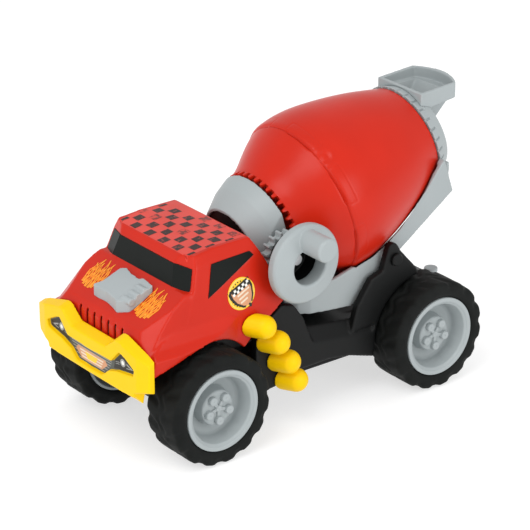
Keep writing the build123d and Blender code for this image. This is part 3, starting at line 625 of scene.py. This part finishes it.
def drum_place(s, r, angle):
    """Maps (along, radius, angle from the top towards the left) of the drum to the frame."""
    return (DRUM_O + DRUM_D * s + (DRUM_UP * cos(angle) + LEFT * sin(angle)) * r) * MM


def from_slit(angle):
    """Degrees between an angle and the middle of the nearest slit of the seam."""
    turn = (angle * 180 / pi - FIRST_SLIT) / SLIT_PITCH
    return abs(turn - floor(turn + 0.5)) * SLIT_PITCH


def drum_skin(s, r, angle):
    """The drum's surface with its seam's slits, round dimples and snap tabs pressed in."""
    if r < NEAR_SEAM_R:
        return drum_place(s, r, angle)
    slit = 1 - stepped(from_slit(angle), 10.5, 12.5)
    edge = 1 - stepped(abs(s - SEAM), 0.25, 0.9)
    r -= edge * (SEAM_DEPTH + SLIT_DEPTH * slit)
    for at in DIMPLES:
        away = hypot(s - DIMPLE_S, ((angle - radians(at) + pi) % (2 * pi) - pi) * DIMPLE_R)
        r -= DIMPLE_DEPTH * (1 - stepped(away, 2.2, 5.6)) if s > SEAM else 0
    outline = max(abs(s - TAB_S) - TAB_HALF, (from_slit(angle) - TAB_TURN) * 0.95)
    if s > SEAM + 0.6:
        r -= TAB_DEPTH * (1 - stepped(abs(outline), 0.2, 0.7))
    return drum_place(s, r, angle)


def tooth(k):
    """One tapered tooth of the crown gear on the drum's front."""
    turn = radians(360 / TEETH * k)
    across = LEFT * cos(turn) - DRUM_UP * sin(turn)
    out = DRUM_UP * cos(turn) + LEFT * sin(turn)
    return soft_box([(DRUM_O + DRUM_D * s + out * r + across * w * half) * MM
                     for s, half in ((5.2, 1.65), (1.3, 0.75))
                     for r, w in ((34.0, -1), (37.0, -1), (37.0, 1), (34.0, 1))], 0.3)


def make_drum():
    """The drum's front half with its crown gear, and its rear half."""
    front_outside = curve_through([(4.6, 37.0), (9, 38.6), (14, 41.2), (21, 45.6), (28, 49.7),
                                   (34.75, 53.0)], 8)
    rear_outside = curve_through([(35.0, 53.3), (36.4, 54.2), (40.0, 54.9), (50.0, 55.1),
                                  (62.0, 53.7), (80.0, 49.6), (100.0, 43.6), (121.8, 35.2)], 14)
    front = front_outside + [(37.0, 51.6), (37.0, 49.8), (SEAM, 49.7), (28.0, 47.3), (21.0, 43.3),
                             (14.0, 38.8), (8.6, 36.0), (8.6, 7.0), (15.0, 7.0), (15.0, 3.2),
                             (4.6, 3.2), (4.6, 7.0), (6.4, 8.2), (6.4, 34.0), (4.6, 34.0)]
    rear = rear_outside + [(122.0, 27.0), (130.0, 27.0), (130.0, 25.0), (120.0, 25.0),
                           (120.0, 33.6), (100.0, 41.4), (80.0, 47.4), (62.0, 51.4),
                           (50.0, 52.7), (37.6, 52.4), (SEAM + 0.1, 51.9)]
    teeth = [tooth(k) for k in range(TEETH)]
    finish_piece(joined("drum_front_half_look", turned(front, drum_skin, 360), *teeth),
                 "drum_front_half", limit=40.0)
    finish_piece(joined("drum_rear_half_look", turned(rear, drum_skin, 480)), "drum_rear_half",
                 limit=40.0)


make_drum()

# ---- Printed roof, hood, doors and headlights ---------------------------------------------------
cab = looks["cab_shell"]
CHECK, CHECK_SHIFT, CHECK_GAP = 7.4, 3.4, 0.55
ROOF_HALF = 36.8
FADED = {(-5, -1), (-3, -1), (1, -1), (0, 2), (2, 2), (4, 2)}
WORN_OFF = {(-4, 2), (-2, 2)}
FLAMES, FLAME_PITCH, FLAME_WIDTH, FLAME_STEPS = 6, 2.75, 2.25, 16
FLAME_TIPS = (-4.5, -8.0, -3.5, -7.0, -4.5, -9.0)
BADGE_DOTS, BADGE_DOT_RING = 24, 8.0
SHIELD = [(-10.6, 2.4), (6.0, 9.7), (8.4, 4.2), (8.9, -2.0), (7.0, -10.0), (0.5, -9.2),
          (-5.0, -6.2), (-8.6, -2.0)]
SHIELD_CORNER, SHIELD_ALONG = Vector((-8.0, 2.4)), Vector((16.6, 7.3)).normalized()
SHIELD_DOWN = Vector((SHIELD_ALONG.y, -SHIELD_ALONG.x))
BAND_SQUARE = 1.75
LAMP_X, LAMP_Z = 33.4, 70.6


def print_roof():
    """A worn chequered film over the roof."""
    roof = Sheet((0, -68.0, 125.0), (1, 0, 0), (0, 1, 0), "chassis", cab)
    film, dark, faded = [], [], []
    for i in range(-5, 6):
        for j in range(-3, 3):
            x0 = max(i * CHECK - CHECK_SHIFT, -ROOF_HALF)
            x1 = min((i + 1) * CHECK - CHECK_SHIFT, ROOF_HALF)
            y0, y1 = j * CHECK, (j + 1) * CHECK
            film.append([(x0, y0), (x1, y0), (x1, y1), (x0, y1)])
            if (i + j) % 2 or (i, j) in WORN_OFF:
                continue
            slip = 0.35 * sin(5.1 * i + 3.7 * j)
            (faded if (i, j) in FADED else dark).append(
                [(x0 + CHECK_GAP, y0 + CHECK_GAP - slip), (x1 - CHECK_GAP, y0 + CHECK_GAP),
                 (x1 - CHECK_GAP + slip, y1 - CHECK_GAP), (x0 + CHECK_GAP, y1 - CHECK_GAP)])
    roof.print("roof_film", film, "roof_film", 0.08, 2.0)
    roof.print("roof_checks", dark, "roof_check", 0.16, 2.0)
    roof.print("roof_faded_checks", faded, "roof_faded", 0.16, 2.0)


def flame_line(side, k):
    """The middle line of one tongue of flame, from its root to its tip near the windscreen."""
    root = -24.5 - 2.5 * sin(pi * k / (FLAMES - 1))
    line = []
    for n in range(FLAME_STEPS + 1):
        t = n / FLAME_STEPS
        sway = 0.85 * sin(3.0 * pi * t + 1.9 * k) * (0.3 + 0.7 * t)
        line.append((side * (21.6 + FLAME_PITCH * k + sway + t), root + (FLAME_TIPS[k] - root) * t))
    return line


def flame_width(t):
    """How wide a tongue is along its line: blunt at the root and pointed at the tip."""
    return FLAME_WIDTH * (1 - 0.9 * stepped(t, 0.62, 1.0)) * (0.55 + 0.45 * stepped(t, 0.0, 0.2))


def print_flames():
    """Plain line-drawn flames on the hood, either side of the engine."""
    foot, lip = Vector((0, -98.4, 109.4)), Vector((0, -127.5, 91.0))
    hood = Sheet(foot, (1, 0, 0), foot - lip, "chassis", cab)
    tongues, outlines, gaps = [], [], []
    for side in (1, -1):
        for k in range(FLAMES):
            line = flame_line(side, k)
            tongues += strip(line, flame_width)
            for hand in (-1, 1):
                edge = [(a + hand * flame_width(n / FLAME_STEPS) / 2, b)
                        for n, (a, b) in enumerate(line)]
                outlines += strip(edge, lambda t: 0.65 - 0.25 * t)
            for n in (3, 7, 11):
                (ax, ay), (bx, by) = line[n + k % 2], line[n + k % 2 + 2]
                gaps += strip([(ax, ay), ((ax + bx) / 2, (ay + by) / 2), (bx, by)],
                              lambda t: 0.8 * sin(pi * t) + 0.08)
    hood.print("hood_flame_fill", tongues, "flame_orange", 0.10)
    hood.print("hood_flame_lines", outlines, "flame_yellow", 0.18)
    hood.print("hood_flame_gaps", gaps, "red_plastic", 0.22)


def mirrored(points, side):
    """The points as they are for the left side, or flipped for the right."""
    return [(side * x, y) for x, y in points]


def shield_box(along, down, length, height):
    """A four-sided shape laid along the shield's top edge, from its upper left corner."""
    start = SHIELD_CORNER + SHIELD_ALONG * along + SHIELD_DOWN * down
    end = start + SHIELD_ALONG * length
    drop = SHIELD_DOWN * height
    return [tuple(start), tuple(end), tuple(end + drop), tuple(start + drop)]


def print_badge(hand, side):
    """A plain door badge: a dotted ring, and a shield with a chequered band and three bars."""
    door = Sheet((side * 48.0, -57.5, 100.0), (0, side, 0), (0, 0, 1), "chassis",
                 nodes[f"badge_{hand}"], cab)
    tag = "badge_" + hand
    dots = []
    for k in range(BADGE_DOTS):
        turn = radians(360 / BADGE_DOTS * k)
        dots.append(disc(BADGE_DOT_RING * cos(turn), BADGE_DOT_RING * sin(turn), 0.55, 8))
    light, dark = [], []
    for row in range(2):
        for k in range(8):
            square = shield_box(BAND_SQUARE * k + 0.4, BAND_SQUARE * row + 0.2, BAND_SQUARE,
                                BAND_SQUARE)
            (light if (k + row) % 2 else dark).append(mirrored(square, side))
    bars = [mirrored(shield_box(3.0, 4.6 + 2.6 * k, 10.0 - 2.0 * k, 1.2), side) for k in range(3)]
    field = [(x * 0.80 + 0.6, y * 0.80 - 0.6) for x, y in SHIELD]
    door.print(tag + "_rim", hoop(9.3, 10.3), "print_cream", 0.05)
    door.print(tag + "_dots", dots, "print_black", 0.05)
    door.print(tag + "_shield", [mirrored(SHIELD, side)], "print_black", 0.09)
    door.print(tag + "_field", [mirrored(field, side)], "print_tan", 0.13)
    door.print(tag + "_band", light, "print_white", 0.17)
    door.print(tag + "_checks", dark, "print_black", 0.17)
    door.print(tag + "_bars", bars, "print_cream", 0.17)


def print_lamp(label, hand, side):
    """One headlight: a dark lens, a silver reflector with a bright bulb, and a few streaks."""
    tag = "lamp_" + hand
    lens = [(25.2, 69.4), (32.6, 76.6), (36.0, 75.8), (45.6, 70.7), (44.8, 67.6), (31.0, 65.6),
            (24.0, 64.0)]
    gleam = [(37.0, 71.6), (42.6, 69.8), (42.2, 69.0), (37.4, 70.4)]
    streaks = [[(26.0, 67.6 + k), (30.0, 68.4 + k), (30.0, 68.8 + k), (26.0, 68.0 + k)]
               for k in (0, 1.2)]
    streaks.append([(37.0, 68.0), (44.0, 69.2), (44.0, 69.6), (37.0, 68.5)])
    label.print(tag + "_lens", [mirrored(lens, side)], "print_black", 0.04)
    label.print(tag + "_glow", [disc(side * LAMP_X, LAMP_Z, 2.6), mirrored(gleam, side)],
                "print_silver", 0.08)
    label.print(tag + "_bulb", [disc(side * LAMP_X, LAMP_Z, 1.4)], "print_white", 0.12)
    label.print(tag + "_streaks", [mirrored(streak, side) for streak in streaks], "print_silver",
                0.08)


def print_grille(label):
    """The label's middle: silver lines, and a tan field with cream bars and a yellow heart."""
    lines = [[(-22.0 + k, z), (22.0 - k, z), (22.0 - k, z + 0.5), (-22.0 + k, z + 0.5)]
             for k, z in ((0, 66.6), (0.6, 65.2), (1.6, 63.4), (3.0, 61.6), (5.0, 59.6), (8.0, 57.4))]
    field = [(-15.0, 65.2), (15.0, 65.2), (17.0, 62.6), (11.0, 57.8), (-11.0, 57.8), (-17.0, 62.6)]
    bars = [[(-13.0 + k, 63.9 - 2 * k), (13.0 - k, 63.9 - 2 * k), (12.4 - k, 62.8 - 2 * k),
             (-12.4 + k, 62.8 - 2 * k)] for k in range(3)]
    heart = [(-7.0, 63.4), (7.0, 63.4), (4.5, 59.4), (-4.5, 59.4)]
    label.print("grille_lines", lines, "print_silver", 0.04)
    label.print("grille_field", [field], "print_tan", 0.08)
    label.print("grille_bars", bars, "print_cream", 0.12)
    label.print("grille_heart", [heart], "badge_print", 0.16)


print_roof()
print_flames()
for hand, side in (("left", 1), ("right", -1)):
    print_badge(hand, side)
headlights = Sheet((0, -134.0, 0.0), (1, 0, 0), (0, 0, 1), "chassis", nodes["headlight_label"])
for hand, side in (("left", 1), ("right", -1)):
    print_lamp(headlights, hand, side)
print_grille(headlights)

# ---- CAD nodes: those that no piece replaces keep their meshes ----------------------------------
for name, obj in nodes.items():
    obj.data.materials.clear()
    obj.data.materials.append(MATERIALS[SLOT_OF[name]])
